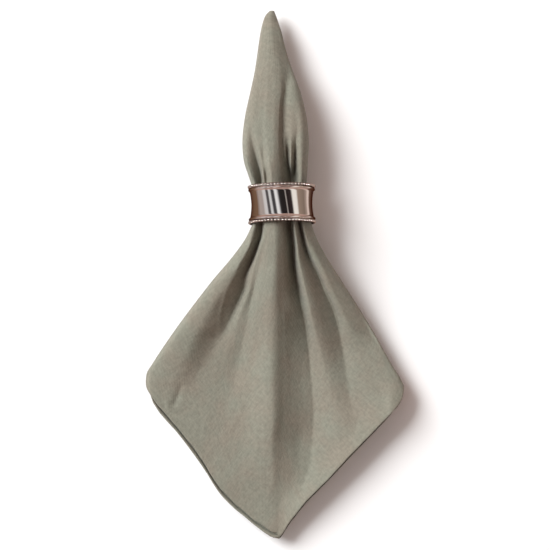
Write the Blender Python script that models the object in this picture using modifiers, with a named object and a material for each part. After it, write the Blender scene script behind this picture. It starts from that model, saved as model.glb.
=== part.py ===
"""Linen napkin in a ring: a square napkin folded in quarters, folded again to a kite and drawn through a
waisted metal ring, lying on its back. Sizes below are millimetres, X to the right, Y towards the tip and
Z up from the surface that it lies on."""

import math

import bmesh
import bpy
import numpy as np

MM = 0.001

# The ring, on its side with its axis along Y
RING_CENTRE = (4.2, 45.7, 23.0)
RING_TURN_DEG = 1.0
RIM_RADIUS = 23.0
WAIST_RADIUS = 20.6
NECK_RADIUS = 21.5
RING_LENGTH = 26.0
WALL = 1.2
RIM_BAND = 1.5
MOULDING = 0.9
MOULDING_SEAT = 1.3
NECK_ROUND = 0.6
RING_STEPS = 48
WALL_POINTS = 9

# The cloth: each ply stands for two linen layers that lie tight together
PLY = 1.1
PLY_GAP = 0.4
HEM_GAP = 1.3
SLIT_FROM = 0.33
BACK_GAP = 1.2
CORE_SHARE = 0.12
HEM_INSET_LEFT = 2.7
HEM_INSET_RIGHT = 1.4
SKIRT_LENGTH = 150.0
CORNER_FADE = 0.04
GAP_FADE = 0.15
FLAP_HEM_Y = -75.0
SLOT_SHARE = 0.3

# How unevenly the hem gapes round the loop
GAPE_WAVES = (
    # share, turns, start
    (0.35, 7, 1),
    (0.20, 17, 0),
)

# Sections from the tip down to the ring's foot: the outline's two sides and the section's three heights
SECTIONS = (
    # y, left, right, bottom, side, top, squareness
    (179.6, -4.2, -1.0, 8.6, 10.2, 11.8, 2.0),
    (176.5, -6.9, 0.2, 7.8, 10.6, 13.6, 2.0),
    (171.5, -8.8, 1.9, 7.2, 11.2, 15.6, 2.1),
    (163.0, -10.5, 4.5, 6.2, 12.0, 18.2, 2.2),
    (150.0, -12.3, 7.6, 5.4, 13.2, 21.6, 2.3),
    (137.0, -14.3, 11.9, 4.8, 14.4, 24.8, 2.3),
    (122.0, -17.4, 17.2, 4.4, 16.2, 28.6, 2.3),
    (106.0, -20.8, 20.9, 4.0, 18.0, 32.4, 2.2),
    (90.0, -22.4, 22.4, 4.0, 19.8, 36.2, 2.2),
    (76.0, -20.6, 21.9, 4.2, 21.4, 39.0, 2.1),
    (66.0, -17.8, 21.3, 4.4, 22.4, 40.6, 2.0),
    (58.7, -16.2, 20.9, 4.4, 23.0, 41.2, 2.0),
    (52.0, -14.8, 22.2, 4.4, 23.0, 41.6, 2.0),
    (45.7, -14.2, 22.7, 4.3, 23.0, 41.7, 2.0),
    (39.0, -14.4, 23.2, 4.1, 22.8, 41.7, 2.0),
    (32.7, -15.5, 24.2, 3.7, 22.2, 41.3, 2.0),
)

# The skirt from the ring's foot (0) to the hem (1): the same heights, and how far the folds have fanned out
SKIRT = (
    # along, fan, bottom, side, top, squareness
    (0.00, 0.000, 3.7, 22.2, 41.3, 2.0),
    (0.09, 0.055, 1.0, 18.6, 38.4, 2.0),
    (0.20, 0.155, -0.4, 14.2, 33.0, 2.1),
    (0.35, 0.325, -0.6, 9.8, 25.8, 2.4),
    (0.50, 0.505, -0.6, 7.4, 20.4, 2.7),
    (0.70, 0.730, -0.6, 6.0, 15.6, 3.1),
    (0.88, 0.915, -0.6, 5.4, 12.8, 3.4),
    (1.00, 1.000, -0.6, 5.2, 11.6, 3.6),
)

# The hem that shows, from the left fold round the bottom corner to the right fold
HEM = (
    # loop, x, y
    (-1.000, -88.1, -72.5),
    (-0.942, -86.6, -80.6),
    (-0.845, -79.1, -92.2),
    (-0.732, -69.6, -105.1),
    (-0.584, -57.3, -122.1),
    (-0.460, -47.1, -136.4),
    (-0.367, -39.6, -147.3),
    (-0.161, -19.5, -165.0),
    (0.000, 1.2, -180.0),
    (0.104, 8.2, -168.4),
    (0.223, 19.5, -156.1),
    (0.380, 34.5, -140.5),
    (0.537, 49.4, -124.8),
    (0.681, 63.7, -110.9),
    (0.829, 78.7, -97.0),
    (0.883, 83.8, -91.5),
    (0.946, 87.5, -83.6),
    (1.000, 88.1, -76.2),
)

# Crests and valleys of the front, left to right: their shares of the width at four sections, and into how many
# strips the cloth is cut from each to the next. Heights below are millimetres above the plain section.
FOLD_SECTIONS = (4, 8, 11, 15)
FOLDS = (
    # loop, at upper, at belly, at collar, at foot, strips
    (-1.00, 0.000, 0.000, 0.000, 0.000, 1),
    (-0.91, 0.042, 0.056, 0.058, 0.051, 2),
    (-0.74, 0.088, 0.132, 0.130, 0.122, 3),
    (-0.51, 0.158, 0.238, 0.203, 0.185, 2),
    (-0.38, 0.230, 0.298, 0.248, 0.215, 2),
    (-0.18, 0.352, 0.405, 0.348, 0.304, 2),
    (0.00, 0.493, 0.495, 0.466, 0.407, 2),
    (0.20, 0.704, 0.564, 0.583, 0.525, 3),
    (0.40, 0.830, 0.609, 0.683, 0.628, 2),
    (0.48, 0.880, 0.723, 0.728, 0.707, 3),
    (0.66, 0.915, 0.814, 0.800, 0.778, 3),
    (0.795, 0.950, 0.905, 0.918, 0.873, 2),
    (0.88, 0.979, 0.958, 0.973, 0.953, 2),
    (1.00, 1.000, 1.000, 1.000, 1.000, 0),
)
HEIGHT_STATIONS = (0, 4, 6, 8, 11, 15, 16.0, 17.5, 19.5, 22.0, 25.0)
HEIGHTS = (
    # loop: tip, upper, shoulder, belly, collar, foot, then five down the skirt to the hem
    (-2.00, 0, 0, 0, 0, 0, 0, 0, 0, 0, 0, 0),
    (-1.78, 0, 0, 0, 0, 0, 0, 0, 0, 0, 0, 0),
    (-1.55, 0, 0, -1, -3, -6, -6, -2, 0, 0, 0, 0),
    (-1.28, 0, 0, 0, 0, 0, 0, 0, 0, 0, 0, 0),
    (-1.00, 0, 0, 0, 0, 0, 0, 0, 0, 0, 0, 0),
    (-0.91, 0, 0, 0, 0.5, 0, 0, 0.5, 1.5, 1.5, 0.8, 0.8),
    (-0.74, 0, 0, 0, -0.5, -2.5, -2.5, -1.5, -0.5, -0.5, -0.3, 0.3),
    (-0.51, 0, 0, 0, -3.5, -9, -9, -8, -6, -4.5, -1.8, -0.5),
    (-0.38, 0, 0, 0, 0, -1, -1, -1.5, -2, -1.2, 0.2, 0.6),
    (-0.18, 0, 0, 0.3, 0.5, 0, 0, 0.5, 1.0, 1.2, 1.2, 1.0),
    (0.00, 0, 0, 0.3, 0, 0, 0, 0.5, 1.5, 2.0, 1.8, 0.6),
    (0.20, 0, 0.3, 1.2, 1.0, 0, 0, 0, -0.5, -1.0, -1.6, 4.0),
    (0.40, 0, -2, -10, -12, -12, -12, -12, -10.5, -7.5, -4.5, 7.0),
    (0.48, 0, 0, -1, -1, -3, -2, -1, -0.5, 0.2, 0.8, 8.4),
    (0.66, 0, 0, 0, -2, -7, -6, -6, -5, -2.5, 0.6, 9.6),
    (0.795, 0, 0, 0.5, 0.8, 0, 0, 0.5, 1.5, 2.0, 2.6, 7.0),
    (0.88, 0, 0, 0, 0, -0.5, -0.8, -0.8, -0.8, -0.5, 0.6, 4.0),
    (1.00, 0, 0, 0, 0, 0, 0, 0, 0, 0, 0, 0),
    (1.25, 0, 0, 0, 0, 0, 0, 0, 0, 0, 0, 0),
    (1.50, 0, 0, -1, -3, -7, -7, -2, 0, 0, 0, 0),
    (1.76, 0, 0, 0, 0, 0, 0, 0, 0, 0, 0, 0),
    (2.00, 0, 0, 0, 0, 0, 0, 0, 0, 0, 0, 0),
)
SKIRT_STATIONS = 10.0

# How finely the cloth is cut: columns behind and beside the side folds, and rows down the skirt
FLAP_COLUMNS = (0.02, 0.07, 0.15, 0.28, 0.41, 0.55, 0.67, 0.78, 1.0)
SIDE_COLUMNS = (0.015, 0.045)
SKIRT_ROWS = (0.04, 0.09, 0.15, 0.21, 0.27, 0.33, 0.40, 0.47, 0.54, 0.61, 0.68, 0.75, 0.82, 0.89, 0.95, 1.0)
FINE_COLUMNS = 401
FOOT = len(SECTIONS) - 1


def curve(at, knots, values):
    """The smooth curve through the knots, read at the given places."""
    at = np.asarray(at, float)
    knots = np.asarray(knots, float)
    values = np.asarray(values, float)
    slopes = np.gradient(values, knots)
    i = np.clip(np.searchsorted(knots, at) - 1, 0, len(knots) - 2)
    width = knots[i + 1] - knots[i]
    t = (at - knots[i]) / width
    ends = (1 + 2 * t) * (1 - t) ** 2 * values[i] + t**2 * (3 - 2 * t) * values[i + 1]
    return ends + width * t * (1 - t) * ((1 - t) * slopes[i] - t * slopes[i + 1])


def ease_between(at, knots, values):
    """Values that rise and fall softly from knot to knot and are level at each."""
    i = np.clip(np.searchsorted(knots, at) - 1, 0, len(knots) - 2)
    t = (at - knots[i]) / (knots[i + 1] - knots[i])
    return values[i] + (values[i + 1] - values[i]) * t * t * (3 - 2 * t)


def fold_height(loop, station):
    """Height of the crests and valleys over the plain section, round the loop at one station."""
    rows = np.array(HEIGHTS, float)
    at_station = np.array([curve(station, HEIGHT_STATIONS, row[1:]) for row in rows])
    height = ease_between(loop, rows[:, 0], at_station)
    return np.where(np.abs(loop) > 1, np.minimum(height, 0), height)


def sunk(place, height, depth):
    """The face that lies this deep in the cloth, nowhere nearer to the upper face however steep that is."""
    apart = np.abs(place[:, None] - place[None, :])
    depth = np.broadcast_to(depth, place.shape)[:, None]
    drop = np.sqrt(np.clip(depth**2 - apart**2, 0, None))
    return np.where(apart <= depth, height[None, :] - drop, np.inf).min(axis=1)


def body_row(loop, station):
    """Plan and heights of one section between the tip and the ring's foot."""
    table = np.array(SECTIONS).T
    y, left, right, bottom, side, top, square = (curve(station, range(len(SECTIONS)), v) for v in table)
    folds = np.array(FOLDS).T
    shares = [curve(min(max(station, FOLD_SECTIONS[0]), FOLD_SECTIONS[-1]), FOLD_SECTIONS, v)
              for v in folds[1:5].T]
    front = left + (right - left) * np.interp(loop, folds[0], shares)
    middle = (left + right) / 2
    slot = min(BACK_GAP, SLOT_SHARE * (right - left) / 2)
    back = np.abs(loop) - 1
    edge = np.where(loop < 0, left, right)
    inner = middle + np.sign(loop) * slot / 2
    x = np.where(back > 0, edge + (inner - edge) * back, front)
    return x, np.full_like(x, y), (bottom, side, top, square)


def hem_line(loop):
    """Where each column ends: on the hem in front, on the flaps' level hem behind."""
    table = np.array(HEM).T
    x = curve(loop, table[0], table[1])
    y = curve(loop, table[0], table[2])
    back = np.abs(loop) - 1
    corner_x = np.where(loop < 0, HEM[0][1], HEM[-1][1])
    corner_y = np.where(loop < 0, HEM[0][2], HEM[-1][2])
    inner = np.sign(loop) * BACK_GAP / 2
    return (np.where(back > 0, corner_x + (inner - corner_x) * back, x),
            np.where(back > 0, corner_y + (FLAP_HEM_Y - corner_y) * back, y))


def skirt_row(loop, along):
    """Plan and heights of one row of the skirt; along may differ from column to column."""
    x0, y0, _ = body_row(loop, FOOT)
    x1, y1 = hem_line(loop)
    table = np.array(SKIRT).T
    fan = curve(along, table[0], table[1])
    heights = tuple(curve(np.max(along), table[0], v) for v in table[2:])
    return x0 + (x1 - x0) * fan, y0 + (y1 - y0) * along, heights


def lifted(loop, x, heights):
    """The plain section over each x, and the way out of the cloth there."""
    bottom, side, top, square = heights
    left, right = x[np.argmin(np.abs(loop + 1))], x[np.argmin(np.abs(loop - 1))]
    half = (right - left) / 2
    share = np.clip(np.abs(x - (left + right) / 2) / half, 0, 1)
    swell = (1 - share**square) ** (1 / square)
    z = np.where(np.abs(loop) > 1, side - (side - bottom) * swell, side + (top - side) * swell)
    z = np.maximum(z, 0)
    radius = min(half, (top - bottom) / 2)
    core = np.clip(x, left + radius, right - radius)
    way = np.stack([x - core, z - side])
    reach = np.linalg.norm(way, axis=0)
    return z, way / np.maximum(reach, 1e-6), reach


def skins(columns, station):
    """Four faces of the two plies at one station: top of the first to underside of the second."""
    loop = np.union1d(columns, np.linspace(-2, 2, FINE_COLUMNS))
    along = station - FOOT
    if along <= 0:
        rows = [body_row(loop, station)] * 4
        gap = PLY_GAP
        height = fold_height(loop, station)
    else:
        from_side = 1 - np.abs(loop)
        inset = np.where(loop < 0, HEM_INSET_LEFT, HEM_INSET_RIGHT) / SKIRT_LENGTH
        inset = inset * np.clip(from_side / CORNER_FADE, 0, 1) * along**6
        upper = skirt_row(loop, along - inset)
        lower = skirt_row(loop, np.full_like(loop, along))
        rows = [upper, upper, lower, lower]
        open_share = max(0.0, (along - SLIT_FROM) / (1 - SLIT_FROM))
        waves = 1 + sum(share * np.sin(turns * loop + start) for share, turns, start in GAPE_WAVES)
        gap = PLY_GAP + (HEM_GAP - PLY_GAP) * open_share * np.clip(from_side / GAP_FADE, 0, 1) * waves
        height = fold_height(loop, FOOT + SKIRT_STATIONS * along)
    faces = []
    for (x, y, heights), depth in zip(rows, (0, PLY, PLY + gap, 2 * PLY + gap)):
        z, way, reach = lifted(loop, x, heights)
        place = np.concatenate([[0], np.cumsum(np.hypot(np.diff(x), np.diff(z)))])
        out = np.maximum(sunk(place, height, depth), (CORE_SHARE - 1) * reach)
        points = np.stack([x + way[0] * out, y, z + way[1] * out], axis=-1)
        faces.append(points[np.searchsorted(loop, columns)])
    return faces


def loop_columns():
    """Where the cloth is cut round the loop: even strips between the creases, closer ones at the side folds."""
    front = [-1 + v for v in SIDE_COLUMNS] + [1 - v for v in SIDE_COLUMNS]
    for fold, following in zip(FOLDS, FOLDS[1:]):
        front += list(np.linspace(fold[0], following[0], fold[-1], endpoint=False))
    return np.array(sorted([-1 - v for v in FLAP_COLUMNS] + front + [1] + [1 + v for v in FLAP_COLUMNS]))


def build_napkin():
    loop = loop_columns()
    stations = list(range(len(SECTIONS))) + [FOOT + v for v in SKIRT_ROWS]
    slit = len(SECTIONS) + SKIRT_ROWS.index(SLIT_FROM)
    mesh = bmesh.new()
    verts = []
    for r, station in enumerate(stations):
        faces = skins(loop, station)
        verts.append([[mesh.verts.new(p * MM) if k in (0, 3) or r >= slit else None for p in faces[k]]
                      for k in range(4)])
    rows, columns = len(stations), len(loop)
    last = rows - 1

    def strip(skin_a, row_a, skin_b, row_b, first, final):
        for c in range(first, final):
            a, b = verts[row_a][skin_a], verts[row_b][skin_b]
            mesh.faces.new((a[c], a[c + 1], b[c + 1], b[c]))

    def seam(skin_a, skin_b, column, first):
        for r in range(first, last):
            here, below = verts[r], verts[r + 1]
            mesh.faces.new((here[skin_a][column], below[skin_a][column],
                            below[skin_b][column], here[skin_b][column]))

    for r in range(last):
        strip(0, r, 0, r + 1, 0, columns - 1)
        strip(3, r, 3, r + 1, 0, columns - 1)
    for r in range(slit, last):
        strip(1, r, 1, r + 1, 1, columns - 2)
        strip(2, r, 2, r + 1, 1, columns - 2)
    strip(0, 0, 3, 0, 0, columns - 1)
    strip(1, slit, 2, slit, 1, columns - 2)
    strip(0, last, 1, last, 1, columns - 2)
    strip(2, last, 3, last, 1, columns - 2)
    seam(0, 3, 0, 0)
    seam(0, 3, columns - 1, 0)
    seam(1, 2, 1, slit)
    seam(1, 2, columns - 2, slit)
    hem = verts[last]
    for outer, inner in ((0, 1), (columns - 1, columns - 2)):
        mesh.faces.new((hem[0][outer], hem[0][inner], hem[1][inner], hem[2][inner], hem[3][inner], hem[3][outer]))
    unused = [v for v in mesh.verts if not v.link_faces]
    bmesh.ops.delete(mesh, geom=unused, context="VERTS")
    bmesh.ops.recalc_face_normals(mesh, faces=mesh.faces)
    return finished(mesh, "napkin")


def ring_profile():
    """The ring's wall as a closed outline: radius and place along its axis, outer side first."""
    half = RING_LENGTH / 2
    band = half - RIM_BAND
    neck = band - RIM_BAND - MOULDING
    outer = []
    for turn in range(0, 181, 30):
        angle = math.radians(turn)
        outer.append((RIM_RADIUS - RIM_BAND + RIM_BAND * math.sin(angle), band + RIM_BAND * math.cos(angle)))
    for turn in range(45, 181, 45):
        angle = math.radians(turn)
        outer.append((RIM_RADIUS - MOULDING_SEAT + MOULDING * math.sin(angle),
                      band - RIM_BAND - MOULDING * (1 - math.cos(angle)) / 2))
    wall = [(WAIST_RADIUS + (NECK_RADIUS - WAIST_RADIUS) * (y / neck) ** 2, y)
            for y in np.linspace(neck - NECK_ROUND, -neck + NECK_ROUND, WALL_POINTS)]
    mirrored = [(radius, -y) for radius, y in reversed(outer)]
    bore = [(WAIST_RADIUS - WALL + (NECK_RADIUS - WAIST_RADIUS) * (y / neck) ** 2, y)
            for y in np.linspace(-half, half, WALL_POINTS)]
    return outer + wall + mirrored + bore


def build_ring():
    profile = ring_profile()
    mesh = bmesh.new()
    verts = [mesh.verts.new((radius * MM, 0, y * MM)) for radius, y in profile]
    for a, b in zip(verts, verts[1:] + verts[:1]):
        mesh.edges.new((a, b))
    ring = finished(mesh, "ring")
    screw = ring.modifiers.new("turned", "SCREW")
    screw.steps = screw.render_steps = RING_STEPS
    screw.use_merge_vertices = True
    screw.merge_threshold = 0.00001
    ring.location = [v * MM for v in RING_CENTRE]
    ring.rotation_euler = (math.radians(-90), 0, math.radians(RING_TURN_DEG))
    return ring


def finished(mesh, name):
    data = bpy.data.meshes.new(name)
    mesh.to_mesh(data)
    mesh.free()
    return bpy.data.objects.new(name, data)


def painted(thing, name, colour, roughness, metallic):
    material = bpy.data.materials.new(name)
    material.use_nodes = True
    shader = material.node_tree.nodes["Principled BSDF"]
    shader.inputs["Base Color"].default_value = (*colour, 1)
    shader.inputs["Roughness"].default_value = roughness
    shader.inputs["Metallic"].default_value = metallic
    thing.data.materials.append(material)
    thing.data.shade_smooth()


def main():
    for thing in list(bpy.data.objects):
        bpy.data.objects.remove(thing)
    group = bpy.data.collections.new("napkin in a ring")
    bpy.context.scene.collection.children.link(group)
    napkin = build_napkin()
    painted(napkin, "linen", (0.30, 0.28, 0.22), 0.9, 0.0)
    ring = build_ring()
    painted(ring, "silver_plate", (0.75, 0.74, 0.72), 0.15, 1.0)
    for thing in (napkin, ring):
        group.objects.link(thing)


main()
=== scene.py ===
"""Looks for the linen napkin in a ring: the folded cloth, the silver ring with its beads, and a pale studio.

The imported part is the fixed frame. Sizes in the tables are millimetres, X to the right, Y towards the tip and
Z up from the floor that the napkin lies on, but for the fold readings, whose places are the photo's pixels.
"""

import functools
import math

import bmesh
import bpy
import numpy as np
from mathutils import Matrix, Vector

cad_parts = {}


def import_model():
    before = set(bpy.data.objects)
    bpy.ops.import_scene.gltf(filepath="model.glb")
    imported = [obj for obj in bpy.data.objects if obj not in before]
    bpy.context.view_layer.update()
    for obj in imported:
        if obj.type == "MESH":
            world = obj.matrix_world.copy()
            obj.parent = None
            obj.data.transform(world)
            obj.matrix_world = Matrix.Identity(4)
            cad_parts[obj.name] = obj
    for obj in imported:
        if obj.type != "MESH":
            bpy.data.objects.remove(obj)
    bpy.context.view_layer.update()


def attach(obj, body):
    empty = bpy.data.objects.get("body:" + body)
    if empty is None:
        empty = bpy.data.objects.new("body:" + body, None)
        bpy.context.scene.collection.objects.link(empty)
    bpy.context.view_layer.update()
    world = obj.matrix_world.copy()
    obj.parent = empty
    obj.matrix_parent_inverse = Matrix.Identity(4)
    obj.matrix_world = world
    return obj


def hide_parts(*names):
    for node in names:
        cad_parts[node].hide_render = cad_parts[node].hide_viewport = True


MM = 0.001

# The photo: its frame, and how many millimetres of the object one pixel shows
PHOTO_SIDE = 550
PIXEL = 0.677
CAMERA_TARGET = (-0.43, -1.08, 12.0)
CAMERA_DISTANCE = 1800.0
CAMERA_TILT_DEG = 4.0
SENSOR = 36.0

# The napkin as it was cut, and how its four layers lie on one another
NAPKIN_SIDE = 508.0
QUARTER = NAPKIN_SIDE / 2
BACK_GAP = 1.2
SLOT_SHARE = 0.3
CORE_SHARE = 0.12
SKIRT_LENGTH = 150.0
FLAP_HEM_Y = -75.0
FINE_COLUMNS = 401

# The least step between fold lines, the least width left of a point, and the least slope that counts as one
LEAST_STEP = 0.06
LEAST_WIDTH = 0.01
LEAST_SLOPE = 1e-9

# A fold line is fully pinched where its gentler side has this share of the steeper side's slope, turned over
PINCH_FADE = 3.0

# Sections from the tip down to the ring's foot: the outline's two sides and the section's three heights
SECTIONS = (
    # y, left, right, bottom, side, top, squareness
    (179.6, -4.2, -1.0, 8.6, 10.2, 11.8, 2.0),
    (176.5, -6.9, 0.2, 7.8, 10.6, 13.6, 2.0),
    (171.5, -8.8, 1.9, 7.2, 11.2, 15.6, 2.1),
    (163.0, -10.6, 4.5, 6.2, 12.0, 19.4, 2.5),
    (150.0, -12.4, 7.6, 5.4, 13.0, 23.0, 2.7),
    (137.0, -14.3, 11.9, 4.8, 14.0, 26.6, 3.0),
    (122.0, -17.4, 17.2, 4.4, 15.5, 29.8, 3.2),
    (106.0, -20.8, 20.9, 4.0, 17.2, 32.8, 3.2),
    (90.0, -22.5, 22.4, 4.0, 19.2, 36.0, 3.0),
    (76.0, -21.6, 21.9, 4.2, 21.0, 38.6, 2.7),
    (66.0, -18.6, 21.3, 4.4, 22.2, 40.4, 2.3),
    (58.7, -16.2, 20.9, 4.4, 23.0, 41.2, 2.0),
    (52.0, -14.8, 22.2, 4.4, 23.0, 41.6, 2.0),
    (45.7, -14.2, 22.7, 4.3, 23.0, 41.7, 2.0),
    (39.0, -14.4, 23.2, 4.1, 22.8, 41.7, 2.0),
    (32.7, -15.5, 24.2, 3.7, 22.2, 41.3, 2.0),
)
FOOT = len(SECTIONS) - 1

# The skirt from the ring's foot (0) to the hem (1): how far its left and right edges have fanned out, and the
# same three heights
SKIRT = (
    # along, left fan, right fan, bottom, side, top, squareness
    (0.00, 0.000, 0.000, 3.7, 22.2, 41.3, 2.0),
    (0.09, 0.066, 0.055, 1.0, 20.0, 38.4, 2.0),
    (0.20, 0.183, 0.155, -0.4, 17.0, 33.0, 2.1),
    (0.35, 0.371, 0.323, -0.6, 12.4, 25.8, 2.4),
    (0.50, 0.542, 0.494, -0.6, 9.4, 20.4, 2.7),
    (0.70, 0.756, 0.704, -0.6, 7.2, 15.6, 3.1),
    (0.88, 0.930, 0.880, -0.6, 6.0, 12.8, 3.4),
    (0.95, 0.990, 0.956, -0.6, 5.8, 12.1, 3.5),
    (1.00, 1.000, 1.000, -0.6, 5.6, 11.6, 3.6),
)

# The hem that shows, from the left fold round the bottom corner to the right fold
HEM = (
    # loop, x, y
    (-1.000, -88.1, -72.5),
    (-0.942, -87.6, -79.6),
    (-0.845, -80.0, -92.2),
    (-0.732, -68.4, -105.1),
    (-0.584, -55.4, -122.1),
    (-0.460, -45.8, -136.4),
    (-0.367, -39.2, -147.3),
    (-0.161, -20.6, -165.6),
    (0.000, 1.2, -180.0),
    (0.104, 9.2, -169.2),
    (0.223, 19.7, -156.1),
    (0.380, 34.9, -140.5),
    (0.537, 49.6, -124.8),
    (0.681, 63.2, -110.7),
    (0.829, 77.2, -96.4),
    (0.883, 82.2, -91.0),
    (0.946, 85.9, -83.8),
    (1.000, 86.8, -76.2),
)

# Crests and valleys of the front, left to right: their shares of the width at four sections
FOLD_SECTIONS = (4, 8, 11, 15)
FOLDS = (
    # loop, at upper, at belly, at collar, at foot
    (-1.00, 0.000, 0.000, 0.000, 0.000),
    (-0.91, 0.042, 0.056, 0.058, 0.051),
    (-0.74, 0.088, 0.132, 0.130, 0.122),
    (-0.51, 0.158, 0.238, 0.203, 0.185),
    (-0.38, 0.230, 0.298, 0.248, 0.215),
    (-0.18, 0.352, 0.405, 0.348, 0.304),
    (0.00, 0.493, 0.495, 0.466, 0.407),
    (0.20, 0.704, 0.564, 0.583, 0.525),
    (0.40, 0.830, 0.609, 0.683, 0.628),
    (0.48, 0.880, 0.723, 0.728, 0.707),
    (0.66, 0.915, 0.814, 0.800, 0.778),
    (0.795, 0.950, 0.905, 0.918, 0.873),
    (0.88, 0.979, 0.958, 0.973, 0.953),
    (1.00, 1.000, 1.000, 1.000, 1.000),
)

# The fold lines of the front, left to right, and how pinched each is: 0 for a round crest or valley, 1 for a
# sharp one
FOLD_LINES = {
    "left brim": 0.0,
    "left roll": 0.0,
    "left hollow": 0.5,
    "left step": 0.0,
    "faint valley": 0.2,
    "broad ridge": 0.0,
    "centre roll": 0.0,
    "shaded slope": 0.0,
    "seam": 0.6,
    "small ridge": 0.0,
    "deep valley": 0.6,
    "narrow ridge": 0.0,
    "right valley": 0.5,
    "right ridge": 0.0,
    "right roll": 0.0,
    "right brim": 0.0,
}

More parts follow.
